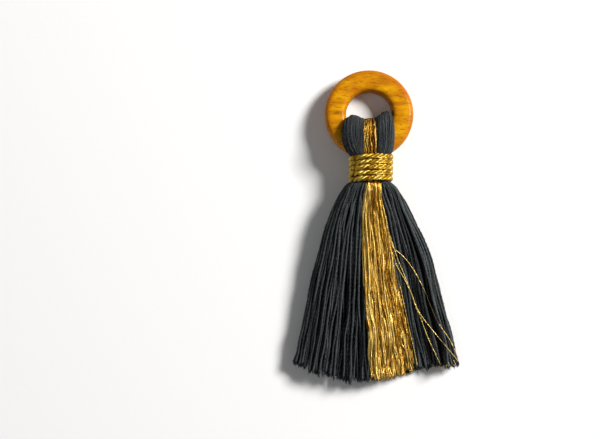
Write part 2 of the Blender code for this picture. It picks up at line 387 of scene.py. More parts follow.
def helix(wire, along, turn, spread, stretch):
    """A place that runs round a strand without a seam, for noise to be read at."""
    return wire.node(
        "CombineXYZ",
        {},
        {
            "X": turn.cosine() * spread,
            "Y": turn.sine() * spread,
            "Z": along * stretch + attribute(wire, "tone") * TONE_APART,
        },
    )


# -------------------------------------------------------------------- finishes


def stained_wood():
    """Amber stained hardwood: short dark pores along the grain, under satin varnish, with painted
    shade on its rounded edges.
    """
    material, shader, wire = new_material(
        "stained_wood", Coat_Roughness=0.2, Coat_IOR=1.4, Specular_IOR_Level=0.05
    )
    place = object_place(wire)
    along = wire.node(
        "Mapping", {}, {"Vector": place, "Rotation": (0.0, 0.0, 0.9), "Scale": (0.22, 1.0, 0.6)}
    )
    figure = noise(wire, along, 480.0, 4.0)
    pores = noise(wire, along, 2600.0, 3.0)
    cloud = noise(wire, place, 210.0, 3.0)
    pore_mask = ramp(wire, pores, (0.0, 1.0), (0.36, 1.0), (0.45, 0.0))
    tone = ramp(
        wire,
        figure,
        (0.3, rgb(0.4, 0.14, 0.001)),
        (0.5, rgb(0.62, 0.25, 0.001)),
        (0.7, rgb(0.77, 0.37, 0.002)),
    )
    middle = RING_MIDDLE * MM
    radial = wire.node("VectorMath", {"operation": "DISTANCE"}, {0: place, 1: middle}, "Value")
    # Painted shade: the colour darkens across the rounded edges of the hole and the rim, where the
    # surface turns away from the light.
    rims = ramp(
        wire,
        radial * (1 / MM / RING_OUTER),
        (0.53, 0.6),
        (0.62, 0.0),
        (0.88, 0.0),
        (0.97, 0.55),
    )
    # Random mottling plus the painted shade of the rims, mixed toward a dark red-brown.
    mottle_and_rim_shade = rims + ramp(wire, cloud, (0.45, 0.0), (0.75, 0.7))
    warm = mottle_and_rim_shade.mix(tone, rgb(0.46, 0.13, 0.001))
    colour = (pore_mask * 0.5).mix(warm, rgb(0.17, 0.042, 0.001))
    feed(wire, shader, Base_Color=colour)
    feed(wire, shader, Roughness=ramp(wire, figure, (0.3, 0.55), (0.7, 0.42)))
    feed(wire, shader, Coat_Weight=ramp(wire, cloud, (0.35, 0.06), (0.65, 0.28)))
    height = figure * 0.4 - pore_mask * 0.6
    feed(wire, shader, Normal=bump(wire, height, 0.4, 0.00012))
    return material


def black_cotton():
    """Soft spun cotton: charcoal black, matt, two plies with fibres that run along them."""
    material, shader, wire = new_material(
        "black_cotton",
        Sheen_Weight=0.05,
        Sheen_Roughness=0.6,
        Sheen_Tint=rgb(0.7, 0.8, 0.85),
        Specular_IOR_Level=0.3,
    )
    along, around = strand_map(wire)
    turn = around + along * (2 * PI / YARN_PITCH)
    plies = (turn * 2.0).sine()
    fibres = noise(wire, helix(wire, along, turn, 2.4, 0.5), 2.0, 3.0, 0.65)
    slubs = noise(wire, helix(wire, along, around, 0.2, 0.22), 1.0, 2.0)
    fuzz = noise(wire, object_place(wire), 1900.0, 3.0, 0.7)
    shade = attribute(wire, "tone") * 0.33 + fibres * 0.2 + slubs * 0.17 + fuzz * 0.3
    colour = ramp(
        wire,
        shade,
        (0.28, rgb(0.0035, 0.005, 0.006)),
        (0.5, rgb(0.0215, 0.0255, 0.028)),
        (0.72, rgb(0.082, 0.091, 0.095)),
    )
    feed(wire, shader, Base_Color=colour)
    feed(wire, shader, Roughness=ramp(wire, fibres, (0.3, 0.65), (0.7, 0.85)))
    height = plies * 0.3 + fibres * 0.6 + fuzz * 0.8
    feed(wire, shader, Normal=bump(wire, height, 0.8, 0.0002))
    return material


def metallic_thread(name, dark, middle, bright, roughness, foils):
    """Foil wound on a core, its colour painted lighter and darker from thread to thread and along
    it: painted glints, shade and highlights over its own tone.

    foils is how many foil threads lie side by side round the core, or 0 for one.
    """
    material, shader, wire = new_material(name, Metallic=0.97, Specular_IOR_Level=0.5)
    along, around = strand_map(wire)
    glints = noise(wire, helix(wire, along, around + along * 2.0, 0.7, 1.7), 1.0, 1.0)
    patches = noise(wire, helix(wire, along, around, 0.15, 0.35), 1.0, 1.0)
    # Colour: the glints noise is painted glints; the patches and each thread's tone are partly its
    # own colour, partly painted light.
    shade = glints * 0.5 + patches * 0.3 + attribute(wire, "tone") * 0.35
    # Painted light: a loose thread's colour lightens along its length, toward its tips.
    if not foils:
        shade = shade + along * SPREAD_PAINTED_LIGHT
    # The dark stop is a painted shade and the bright stop a painted highlight.
    colour = ramp(wire, shade, (0.38, dark), (0.55, middle), (0.74, bright))
    feed(wire, shader, Base_Color=colour)
    feed(wire, shader, Roughness=ramp(wire, glints, (0.35, roughness + 0.15), (0.65, roughness)))
    height = glints + (around * foils - along * 2.4).sine() * 0.45 if foils else glints
    feed(wire, shader, Normal=bump(wire, height, 0.7, 0.00015))
    return material


# ------------------------------------------------------------ curves and strands


def spline_at(points, places):
    """A smooth curve through rows of numbers, read at places from 0 to rows - 1."""
    points = np.asarray(points, float)
    places = np.asarray(places, float)
    last = len(points) - 1
    i = np.clip(np.floor(places).astype(int), 0, last - 1)
    f = (places - i)[..., None]
    before = points[np.maximum(i - 1, 0)]
    start = points[i]
    end = points[i + 1]
    after = points[np.minimum(i + 2, last)]
    slope_in = (end - before) / 2
    slope_out = (after - start) / 2
    return (
        (2 * f**3 - 3 * f**2 + 1) * start
        + (f**3 - 2 * f**2 + f) * slope_in
        + (3 * f**2 - 2 * f**3) * end
        + (f**3 - f**2) * slope_out
    )


def wander(rng, count, points, waves, amount):
    """Smooth random sideways drift, one row for each strand."""
    knots = rng.normal(size=(waves + 3, count)) * amount
    return spline_at(knots, np.linspace(0, waves + 2, points)).T


def in_frame(x, down, z):
    """Points in metres in the frame, from x, down and z in millimetres."""
    return np.stack([x + NECK_X, RING_Y - down, z], -1) * MM


def round_outline(name, sides):
    """A closed outline of unit radius that a strand's curve is bevelled with."""
    curve = bpy.data.curves.new(name, "CURVE")
    curve.dimensions = "2D"
    spline = curve.splines.new("POLY")
    spline.points.add(sides - 1)
    for i, corner in enumerate(spline.points):
        turn = 2 * PI * i / sides
        corner.co = (math.cos(turn), math.sin(turn), 0.0, 1.0)
    spline.use_cyclic_u = True
    outline = bpy.data.objects.new(name, curve)
    bpy.context.scene.collection.objects.link(outline)
    return outline


def make_strands(name, paths, radii, pitch, sides, material, seed, tones=(0.0, 1.0)):
    """Strands as bevelled, twisted curves, turned into one mesh with closed ends.

    paths holds a row of points in metres for each strand and radii their radius
    in millimetres; pitch is the length of one turn of its twist. The mesh carries
    a tone for each strand, and the distance along and around it.
    """
    rng = np.random.default_rng(seed)
    profile = round_outline(name + "_outline", sides)
    curve = bpy.data.curves.new(name, "CURVE")
    curve.dimensions = "3D"
    curve.bevel_mode = "OBJECT"
    curve.bevel_object = profile
    count, points = paths.shape[:2]
    steps = np.linalg.norm(np.diff(paths, axis=1), axis=2)
    along = np.concatenate([np.zeros((count, 1)), steps.cumsum(1)], 1) / MM
    for path, radius, length, start in zip(paths, radii, along, rng.uniform(0, 2 * PI, count)):
        spline = curve.splines.new("POLY")
        spline.points.add(points - 1)
        spline.points.foreach_set("co", np.c_[path, np.ones(points)].ravel())
        spline.points.foreach_set("radius", radius * MM)
        spline.points.foreach_set("tilt", start + 2 * PI * length / pitch)
    holder = bpy.data.objects.new(name, curve)
    bpy.context.scene.collection.objects.link(holder)
    graph = bpy.context.evaluated_depsgraph_get()
    mesh = bpy.data.meshes.new_from_object(holder.evaluated_get(graph), depsgraph=graph)
    for thing in (holder, profile):
        bpy.data.objects.remove(thing)
    mark_strands(mesh, along, sides, rng.uniform(*tones, count))
    close_strands(mesh)
    mesh.materials.clear()
    mesh.materials.append(material)
    mesh.shade_smooth()
    piece = bpy.data.objects.new(name, mesh)
    bpy.context.scene.collection.objects.link(piece)
    return piece


def mark_strands(mesh, along, sides, tones):
    """Writes each strand's tone, and maps for its surface, on a fresh strand mesh."""
    count, points = along.shape
    tone = mesh.attributes.new("tone", "FLOAT", "POINT")
    tone.data.foreach_set("value", np.repeat(tones, points * sides))
    corner = np.empty(len(mesh.loops), np.int32)
    mesh.loops.foreach_get("vertex_index", corner)
    strand = corner // (points * sides)
    place = corner // sides % points
    side = (corner % sides).astype(float)
    faces = side.reshape(-1, 4)
    wraps = (faces.max(1) == sides - 1) & (faces.min(1) == 0)
    faces[wraps[:, None] & (faces == 0)] = sides
    around = faces.ravel() / sides
    while mesh.uv_layers:
        mesh.uv_layers.remove(mesh.uv_layers[0])
    surface = mesh.uv_layers.new(name="strand")
    surface.uv.foreach_set("vector", np.c_[along[strand, place], around].ravel())
    flat = mesh.uv_layers.new(name="OFBake")
    across = (strand + 0.04 + 0.92 * around) / count
    flat.uv.foreach_set("vector", np.c_[across, 0.01 + 0.98 * place / (points - 1)].ravel())


def close_strands(mesh):
    """Caps the open ends and turns the faces outward."""
    bm = bmesh.new()
    bm.from_mesh(mesh)
    rims = [edge for edge in bm.edges if edge.is_boundary]
    bmesh.ops.holes_fill(bm, edges=rims, sides=0)
    bmesh.ops.recalc_face_normals(bm, faces=bm.faces)
    bm.to_mesh(mesh)
    bm.free()


# ------------------------------------------------------------------------ skirt


class Skirt:
    """The skirt's shape at one station, from 0 at the neck to rows - 1 at the tips."""

    def __init__(self, place):
        row = Section(*spline_at(SKIRT, place))
        self.row = row
        self.middle = (row.front + row.back) / 2
        self.half = (row.front - row.back) / 2

    def width_place(self, x):
        row = self.row
        return np.clip(2 * (x - row.left) / (row.right - row.left) - 1, -1, 1)

    def lock_values(self, x, name):
        """A value of the locks at x, blended from lock to lock."""
        row = self.row
        left = (x - row.left) / (row.stripe_left - row.left)
        right = (x - row.stripe_right) / (row.right - row.stripe_right)
        one, other = blend_locks(LEFT_LOCKS, left, name), blend_locks(RIGHT_LOCKS, right, name)
        share = np.clip((x - row.stripe_left) / (row.stripe_right - row.stripe_left), 0, 1)
        return one * (1 - share) + other * share

    def crown(self, out):
        return EDGE_FULL + (1 - EDGE_FULL) * np.sqrt(np.maximum(0, 1 - out**SQUARENESS))

    def front(self, x):
        out = np.abs(self.width_place(x))
        height = self.lock_values(x, "height") * max(0.0, self.row.loose) ** 1.3
        top = self.middle + self.half * self.crown(out) + height
        return np.maximum(self.back(x) + LEAST_THICK, top)

    def back(self, x):
        out = np.maximum(0, np.abs(self.width_place(x)) - BACK_FLAT) / (1 - BACK_FLAT)
        return self.middle - self.half * self.crown(out)

    def under_stripe(self, x):
        """How far the yarns give way to the stripe at x."""
        row = self.row
        inside = np.minimum(x - row.stripe_left, row.stripe_right - x)
        return STRIPE_THICK * STRIPE_BED * np.clip(inside / STRIPE_BED_EDGE + 0.5, 0, 1)

    def down(self, x):
        return self.row.down - self.row.rise * self.width_place(x) ** 2


def lock_centres(locks):
    """The middle of each lock, as a share of its side of the skirt."""
    shares = np.cumsum([0.0] + [lock.share for lock in locks])
    return (shares[:-1] + shares[1:]) / 2


def blend_locks(locks, place, name):
    """A value of the locks at a place across them, from 0 to 1."""
    return np.interp(place, lock_centres(locks), [getattr(lock, name) for lock in locks])


def lock_homes(row):
    """The x of the middle of every lock at one section."""
    left = row.left + (row.stripe_left - row.left) * lock_centres(LEFT_LOCKS)
    right = row.stripe_right + (row.right - row.stripe_right) * lock_centres(RIGHT_LOCKS)
    return np.concatenate([left, right])


def settle(x, z, radius, skirt, x_home, z_home, rounds):
    """Lets round yarns push apart inside one cross-section of the skirt."""
    apart = np.eye(len(x))
    row = skirt.row
    for _ in range(rounds):
        dx = x[:, None] - x[None]
        dz = z[:, None] - z[None]
        gap = np.hypot(dx, dz) + apart + 1e-6
        push = np.maximum(0, 2 * radius - gap) * PUSH / gap * (1 - apart)
        x = x + (dx * push).sum(1) + (x_home - x) * GATHER
        z = z + (dz * push).sum(1) + (z_home - z) * LEVEL_PULL
        x = np.clip(x, row.left + radius, row.right - radius)
        room = skirt.under_stripe(x)
        z = np.clip(z, skirt.back(x) + radius + room, skirt.front(x) - radius - room)
    return x, z


def yarn_radius(skirt):
    """The radius at which the yarns fill a cross-section, where they are tight."""
    row = skirt.row
    reach = np.linspace(row.left, row.right, 200)
    room = (skirt.front(reach) - skirt.back(reach)).mean() * (row.right - row.left)
    room -= 2 * STRIPE_THICK * (row.stripe_right - row.stripe_left)
    return min(YARN_R, math.sqrt(FULLNESS * room / YARN_COUNT / PI))


def pack_sections(rng):
    """x, z, down and radius of the yarns at each station, from the neck to the tips.

    They are packed from the tips, where there is most room, up to the neck.
    """
    places = np.linspace(len(SKIRT) - 1, 0, SKIRT_STATIONS)
    across = rng.permutation((np.arange(YARN_COUNT) + rng.uniform(0, 1, YARN_COUNT)) / YARN_COUNT)
    level = rng.uniform(0, 1, YARN_COUNT) ** 0.85
    skirt = Skirt(places[0])
    row = skirt.row
    x = row.left + (row.right - row.left) * across
    z = skirt.back(x) + (skirt.front(x) - skirt.back(x)) * level
    lock = np.abs(x[:, None] - lock_homes(row)[None]).argmin(1)
    levels = []
    for number, place in enumerate(places):
        new = Skirt(place)
        share = (skirt.width_place(x) + 1) / 2
        height = (z - skirt.back(x)) / (skirt.front(x) - skirt.back(x))
        skirt = new
        row = skirt.row
        x = row.left + (row.right - row.left) * share
        z = skirt.back(x) + (skirt.front(x) - skirt.back(x)) * height
        radius = yarn_radius(skirt)
        own = row.left + (row.right - row.left) * across
        gather = LOCK_DRAW * row.loose
        x_home = own * (1 - gather) + lock_homes(row)[lock] * gather
        z_home = skirt.back(x) + (skirt.front(x) - skirt.back(x)) * level
        rounds = FIRST_ROUNDS if number == 0 else ROUNDS
        x, z = settle(x, z, radius, skirt, x_home, z_home, rounds)
        levels.append((x, z, skirt.down(x), np.full(YARN_COUNT, max(radius, YARN_LEAST_R))))
    x, z, down, radius = (np.array(values)[::-1] for values in zip(*levels))
    for values in (x, z):
        for _ in range(3):
            values[1:-1] = values[:-2] / 4 + values[1:-1] / 2 + values[2:] / 4
    return x, z, down, radius


def lay_skirt(rng):
    """Paths of the skirt's yarns from the neck to the tips, and their radii."""
    x, z, down, radius = pack_sections(rng)
    tips = Skirt(len(SKIRT) - 1)
    reach = tips.lock_values(x[-1], "reach") + rng.normal(0, CUT_SPREAD, YARN_COUNT)
    lone = np.where(z[-1] > FRONT_Z, np.abs(x[-1] - LONE_END_X), FAR_AWAY).argmin()
    reach[lone] = LONE_END_REACH
    loose = np.linspace(0, 1, SKIRT_STATIONS)[:, None]
    down = down + reach * np.clip(loose - UNEVEN_FROM, 0, 1) / (1 - UNEVEN_FROM)
    at = np.linspace(0, SKIRT_STATIONS - 1, SKIRT_POINTS)
    x, z, down, radius = (spline_at(values, at).T for values in (x, z, down, radius))
    ease = np.linspace(0, 1, SKIRT_POINTS) ** 0.7
    x = x + wander(rng, YARN_COUNT, SKIRT_POINTS, 5, 0.36) * ease
    x = x + wander(rng, YARN_COUNT, SKIRT_POINTS, 18, 0.1) * ease
    z = z + wander(rng, YARN_COUNT, SKIRT_POINTS, 8, 0.18) * ease
    radius = radius * (1 + wander(rng, YARN_COUNT, SKIRT_POINTS, 16, 0.1))
    radius[:, -1] *= TIP_TAPER
    return x, down, np.maximum(z, radius * 1.02), radius


def build_skirt(cotton, rng):
    """The skirt's yarns as a left and a right piece, and how they are laid."""
    x, down, z, radius = lay_skirt(rng)
    paths = in_frame(x, down, z)
    left = x[:, -1] < (SKIRT[-1].stripe_left + SKIRT[-1].stripe_right) / 2
    pieces = [
        make_strands(name, paths[mine], radius[mine], YARN_PITCH, YARN_SIDES, cotton, seed)
        for name, mine, seed in (("skirt_yarn_left", left, 11), ("skirt_yarn_right", ~left, 12))
    ]
    return pieces, (x, down, z, radius)


def build_cut_fibres(cotton, laid, rng):
    """Fine fibres that stand out of each cut end."""
    x, down, z, radius = laid
    starts, ends = [], []
    for i in range(YARN_COUNT):
        for _ in range(CUT_FIBRES):
            turn = rng.uniform(0, 2 * PI)
            out = radius[i, -1] * math.sqrt(rng.uniform(0, 1))
            side = np.array([math.cos(turn), 0.0, math.sin(turn)])
            tip = np.array([x[i, -1], down[i, -1], z[i, -1]])
            starts.append(tip + side * out - (0.0, 0.5, 0.0))
            reach = np.array([rng.normal(0, 0.16), rng.uniform(0.1, 0.7), rng.normal(0, 0.12)])
            ends.append(tip + side * out * 1.5 + reach)
    steps = np.linspace(0, 1, FIBRE_POINTS)[None, :, None]
    points = np.array(starts)[:, None] * (1 - steps) + np.array(ends)[:, None] * steps
    points[..., 0] += wander(rng, len(points), FIBRE_POINTS, 1, 0.06)
    points[..., 2] = np.maximum(points[..., 2], FLOOR_CLEAR)
    paths = in_frame(points[..., 0], points[..., 1], points[..., 2])
    thin = np.linspace(*CUT_FIBRE_R, FIBRE_POINTS) * rng.uniform(0.7, 1.2, (len(points), 1))
    return make_strands("cut_fibres", paths, thin, YARN_PITCH, FIBRE_SIDES, cotton, 13)


def build_fuzz(name, cotton, x, down, z, radius, count, rng, seed):
    """Short fibres that stand off the yarns, mostly on the side that shows."""
    strands, points = x.shape
    strand = rng.integers(0, strands, count)
    place = rng.integers(1, points - 4, count)
    turn = rng.normal(PI / 2, 0.9, count)
    steps = np.linspace(0, 1, FIBRE_POINTS)
    reach = rng.uniform(1, 3, count)[:, None] * steps
    at = np.minimum(place[:, None] + reach, points - 1.001)
    low = at.astype(int)
    part = at - low
    line = []
    for values in (x, down, z, radius):
        rows = values[strand]
        pick = np.arange(count)[:, None]
        line.append(rows[pick, low] * (1 - part) + rows[pick, low + 1] * part)
    off = np.linspace(0.85, 1.0, FIBRE_POINTS) * line[3]
    off = off + rng.uniform(0.1, 0.5, count)[:, None] * steps**2
    swing = turn[:, None] + rng.normal(0, 0.9, count)[:, None] * steps
    fibre_z = np.maximum(line[2] + off * np.sin(swing), FLOOR_CLEAR)
    paths = in_frame(line[0] + off * np.cos(swing), line[1], fibre_z)
    thin = np.linspace(*FUZZ_R, FIBRE_POINTS) * rng.uniform(0.7, 1.2, (count, 1))
    # Painted sheen: the fibres' tones run higher than the yarns', which paints them lighter.
    return make_strands(name, paths, thin, YARN_PITCH, FIBRE_SIDES, cotton, seed, (0.7, 1.8))


# ----------------------------------------------------------------- stripe threads


def lay_stripe(rng, count, front, points):
    """Threads of the stripe on the skirt, from the neck to the tips."""
    places = np.linspace(0, len(SKIRT) - 1, points)
    across = rng.permutation((np.arange(count) + rng.uniform(0, 1, count)) / count)
    depth = rng.uniform(0, 1, count)
    drift = wander(rng, count, points, 5, 0.03) + wander(rng, count, points, 20, 0.01)
    rise = wander(rng, count, points, 14, 0.22)
    reach = rng.normal(0, 0.5, count) - CUT_SLANT * across**3
    x = np.empty((count, points))
    down = np.empty((count, points))
    z = np.empty((count, points))
    for i, place in enumerate(places):
        skirt = Skirt(place)
        row = skirt.row
        freedom = TIGHT_FREEDOM + row.loose
        share = np.clip(across + drift[:, i] * freedom, 0.0, 1.0)
        wave = 2 * PI * STRIPE_LOCKS * share
        share = share - STRIPE_DRAW * np.sin(wave) / (2 * PI * STRIPE_LOCKS)
        room = THREAD_R * 1.2
        x[:, i] = row.stripe_left + room + (row.stripe_right - row.stripe_left - 2 * room) * share
        bulge = 1 - STRIPE_ROUND * np.abs(2 * share - 1) ** 3
        ridge = STRIPE_RIDGE * (1 - np.cos(wave)) * freedom
        lift = (STRIPE_THICK * depth * bulge + rise[:, i] * freedom) * 0.95
        if front:
            z[:, i] = skirt.front(x[:, i]) - THREAD_R - STRIPE_THICK * 0.95 + lift + ridge
        else:
            z[:, i] = THREAD_R + skirt.back(x[:, i]) + STRIPE_THICK * 0.9 * (1 - depth)
        uneven = max(0.0, row.loose - STRIPE_UNEVEN_FROM) / (1 - STRIPE_UNEVEN_FROM)
        down[:, i] = skirt.down(x[:, i]) + reach * uneven
    return x, down, np.maximum(z, THREAD_R * 1.25)


def build_stripe(gold, rng):
    """The stripe's threads on the skirt, in front and behind."""
    pieces = []
    for name, count, front, points, seed in (
        ("stripe_front", FRONT_THREADS, True, FRONT_POINTS, 21),
        ("stripe_back", BACK_THREADS, False, BACK_POINTS, 22),
    ):
        paths = in_frame(*lay_stripe(rng, count, front, points))
        radius = THREAD_R * rng.uniform(0.8, 1.2, (count, 1)) * np.ones((1, points))
        pieces.append(make_strands(name, paths, radius, THREAD_PITCH, THREAD_SIDES, gold, seed))
    return pieces


def yarn_top(laid, x, down):
    """The height of the uppermost yarn at a place on the skirt."""
    yarn_x, yarn_down, yarn_z, yarn_r = laid
    near = yarn_r**2 - (yarn_x - x) ** 2 - (yarn_down - down) ** 2 * 0.3
    tops = np.where(near > 0, yarn_z + np.sqrt(np.maximum(near, 0)), 0.0)
    return tops.max()


def build_strays(gold, laid):
    """The stray threads, each lying on the yarns that it crosses."""
    paths = []
    for stray in STRAYS:
        route = np.stack([stray.x, stray.down], -1)
        route = spline_at(route, np.linspace(0, len(route) - 1, STRAY_POINTS))
        heights = np.array([yarn_top(laid, x, down) for x, down in route])
        for _ in range(BRIDGE_ROUNDS):
            padded = np.pad(heights, BRIDGE, mode="edge")
            window = np.ones(2 * BRIDGE + 1) / (2 * BRIDGE + 1)
            heights = np.maximum(heights, np.convolve(padded, window, "valid"))
        paths.append(in_frame(route[:, 0], route[:, 1], heights + STRAY_R))
    radius = np.full((len(paths), STRAY_POINTS), STRAY_R)
    # Painted highlight: the strays' tones run high, toward the gold's painted highlight.
    return make_strands(
        "stray_threads", np.array(paths), radius, THREAD_PITCH, THREAD_SIDES, gold, 23, (1.0, 1.3)
    )


def build_tuft(gold, laid, rng):
    """Short ends of thread among the yarns' tips at the right corner."""
    reach = np.linspace(0, 1, TUFT_POINTS)
    paths = []
    for _ in range(TUFT_THREADS):
        x = rng.uniform(TUFT_LEFT, TUFT_RIGHT)
        down = TUFT_DOWN - TUFT_SLOPE * (x - TUFT_MIDDLE) + rng.normal(0, 0.5)
        height = yarn_top(laid, x, down) * rng.uniform(0.6, 1.0) + 0.1
        line_x = x + reach * rng.normal(0.3, 0.5) + reach**2 * rng.normal(0, 0.4)
        line_z = np.maximum(height + reach * rng.uniform(-0.2, 0.5), STRAY_R)
        paths.append(in_frame(line_x, down + reach * rng.uniform(0.5, 1.9), line_z))
    radius = np.full((len(paths), TUFT_POINTS), STRAY_R / 2)
    # Painted highlight: the tuft's tones run high, toward the gold's painted highlight.
    return make_strands(
        "tuft_threads", np.array(paths), radius, THREAD_PITCH, TUFT_SIDES, gold, 24, (0.8, 1.3)
    )


# ------------------------------------------------------------------------- head


def fold_over(levels, crest_x, crest_down, front_z, back_z, x):
    """A path from under the binding, over the fold and down behind, as control points."""
    downs = [row.down for row in levels]
    path = [(x[i], downs[i], front_z[i]) for i in range(len(levels))]
    base_x, base_down = x[-1], downs[-1]
    arch = []
    for side_z in (front_z[-1], back_z[-1]):
        side = []
        for degrees in ARCH_DEGREES:
            turn = math.radians(degrees)
            side.append(
                (
                    crest_x + (base_x - crest_x) * math.sin(turn) ** 0.9,
                    crest_down + (base_down - crest_down) * (1 - math.cos(turn)),
                    FOLD_Z + (side_z - FOLD_Z) * math.sin(turn) ** 0.85,
                )
            )
        arch.append(side)
    path += arch[0] + [(crest_x, crest_down, FOLD_Z)] + arch[1][::-1]
    path += [(x[i], downs[i], back_z[i]) for i in reversed(range(len(levels)))]
    return path


def clear_ring(x, down, z, radius):
    """Moves the points that would run into the wooden ring out to its surface."""
    cos, sin = math.cos(RING_TILT), math.sin(RING_TILT)
    middle = (RING_HOLE + RING_OUTER) / 2
    half = (RING_OUTER - RING_HOLE) / 2 - RING_EDGE_ROUND
    thick = RING_THICK / 2 - RING_EDGE_ROUND + RING_CROWN
    x = x + NECK_X - RING_MIDDLE.x
    y = RING_Y - down - RING_MIDDLE.y
    z = z - RING_MIDDLE.z
    y, z = y * cos - z * sin, y * sin + z * cos
    out = np.hypot(x, y)
    across = np.abs(out - middle) - half
    above = np.abs(z) - thick
    corner = np.hypot(np.maximum(across, 0), np.maximum(above, 0))
    deep = radius + RING_EDGE_ROUND - corner - np.minimum(np.maximum(across, above), 0)
    deep = np.maximum(0, deep)
    flat = np.where(corner > 0, np.maximum(across, 0) / np.maximum(corner, 1e-6), across > above)
    rise = np.where(corner > 0, np.maximum(above, 0) / np.maximum(corner, 1e-6), across <= above)
    new_out = out + deep * flat * np.sign(out - middle)
    z = z + deep * rise * np.sign(z)
    x, y = x * new_out / out, y * new_out / out
    y, z = y * cos + z * sin, z * cos - y * sin
    return x + RING_MIDDLE.x - NECK_X, -y, z + RING_MIDDLE.z


def lobe_yarn(q, depth, left):
    """Control points of one yarn of a lobe; q is -1 at the outer edge, 1 at the stripe."""
    share = (q + 1) / 2
    full = math.sqrt(1 - abs(q) ** 3) if q < 0 else 1 - 0.12 * q**3
    xs, fronts, backs = [], [], []
    for row, gather in zip(HEAD + [CREST], GATHERS):
        outer = row.left + HEAD_YARN_R if left else row.right - HEAD_YARN_R
        inner = row.stripe_left if left else row.stripe_right
        xs.append(inner + (outer - inner) * (1 - share) ** gather)
        fronts.append(row.edge_front + (row.front - HEAD_YARN_R - row.edge_front) * full - depth)
        backs.append(row.edge_back - (row.edge_back - row.back - HEAD_YARN_R) * full + depth)
    top = LEFT_TOP if left else RIGHT_TOP
    if q < top.place:
        drop = top.outer_drop * ((top.place - q) / (1 + top.place)) ** 2.3
    else:
        drop = top.inner_drop * ((q - top.place) / (1 - top.place)) ** 1.4
    crest_down = top.down + HEAD_YARN_R + drop + depth
    return fold_over(HEAD, xs[-1], crest_down, fronts[:-1], backs[:-1], xs[:-1])


def build_lobes(cotton, rng):
    """Yarns folded over the ring, in layers, on both sides of the stripe."""
    routes = []
    for left, counts in ((True, LEFT_LAYERS), (False, RIGHT_LAYERS)):
        for layer, count in enumerate(counts):
            low = LAYER_INSET * layer - LOBE_REACH
            for i in range(count):
                q = low + (LOBE_REACH - low) * (i + 0.5 * (layer % 2)) / (count - 1)
                q = float(np.clip(q + rng.normal(0, 0.02), -0.98, LOBE_REACH))
                depth = layer * HEAD_YARN_R * LAYER_STEP + rng.uniform(0, 0.05)
                routes.append(lobe_yarn(q, depth, left))
    routes = np.array(routes)
    at = np.linspace(0, routes.shape[1] - 1, HEAD_POINTS)
    laid = np.stack([spline_at(route, at) for route in routes])
    x = laid[..., 0] + wander(rng, len(laid), HEAD_POINTS, 6, 0.12)
    down = laid[..., 1] + wander(rng, len(laid), HEAD_POINTS, 6, 0.02)
    radius = HEAD_YARN_R * (1 + wander(rng, len(laid), HEAD_POINTS, 8, 0.06))
    z = np.maximum(laid[..., 2], radius)
    for _ in range(HEAD_EASING):
        x, down, z = clear_ring(x, down, z, radius)
        for values in (x, down, z):
            values[:, 1:-1] = values[:, :-2] / 4 + values[:, 1:-1] / 2 + values[:, 2:] / 4
    x, down, z = clear_ring(x, down, z, radius)
    paths = in_frame(x, down, np.maximum(z, radius))
    yarn = make_strands("head_yarn", paths, radius, HEAD_YARN_PITCH, YARN_SIDES, cotton, 31)
    return yarn, build_fuzz("head_fuzz", cotton, x, down, z, radius, HEAD_FUZZ, rng, 33)


def build_head_stripe(gold, rng):
    """Metallic threads of the stripe where it is folded over the ring."""
    routes = []
    for layer, count in enumerate(STRIPE_LAYERS):
        for i in range(count):
            share = 1.1 * (i + rng.uniform(0.2, 0.8)) / count - 0.05
            depth = STRIPE_LAYER_STEP * layer + rng.uniform(0, 0.2)
            xs = [r.stripe_left + (r.stripe_right - r.stripe_left) * share for r in HEAD + [CREST]]
            bulge = 0.4 * (1 - abs(2 * share - 1) ** 2.5)
            fronts = [row.front - THREAD_R - 0.55 + bulge - depth for row in HEAD]
            backs = [row.back + THREAD_R + depth for row in HEAD]
            crest_down = STRIPE_TOP_DOWN + THREAD_R + depth - bulge
            routes.append(fold_over(HEAD, xs[-1], crest_down, fronts, backs, xs[:-1]))
    routes = np.array(routes)
    at = np.linspace(0, routes.shape[1] - 1, STRIPE_HEAD_POINTS)
    laid = np.stack([spline_at(route, at) for route in routes])
    x = laid[..., 0] + wander(rng, len(laid), STRIPE_HEAD_POINTS, 26, 0.13)
    z = laid[..., 2] + wander(rng, len(laid), STRIPE_HEAD_POINTS, 26, 0.07)
    paths = in_frame(x, laid[..., 1], np.maximum(z, THREAD_R))
    radius = THREAD_R * rng.uniform(0.7, 0.95, (len(laid), 1)) * np.ones(STRIPE_HEAD_POINTS)
    # Painted shade: the folded stripe's tones run low, toward the gold's painted shade.
    return make_strands(
        "stripe_head", paths, radius, STRIPE_HEAD_PITCH, THREAD_SIDES, gold, 32, (-0.45, 0.7)
    )


# ---------------------------------------------------------------------- binding


def squared(value):
    """Widens a cosine or sine, which makes a circle a round-cornered square."""
    return np.sign(value) * np.abs(value) ** (2 / BINDING_SQUARE)


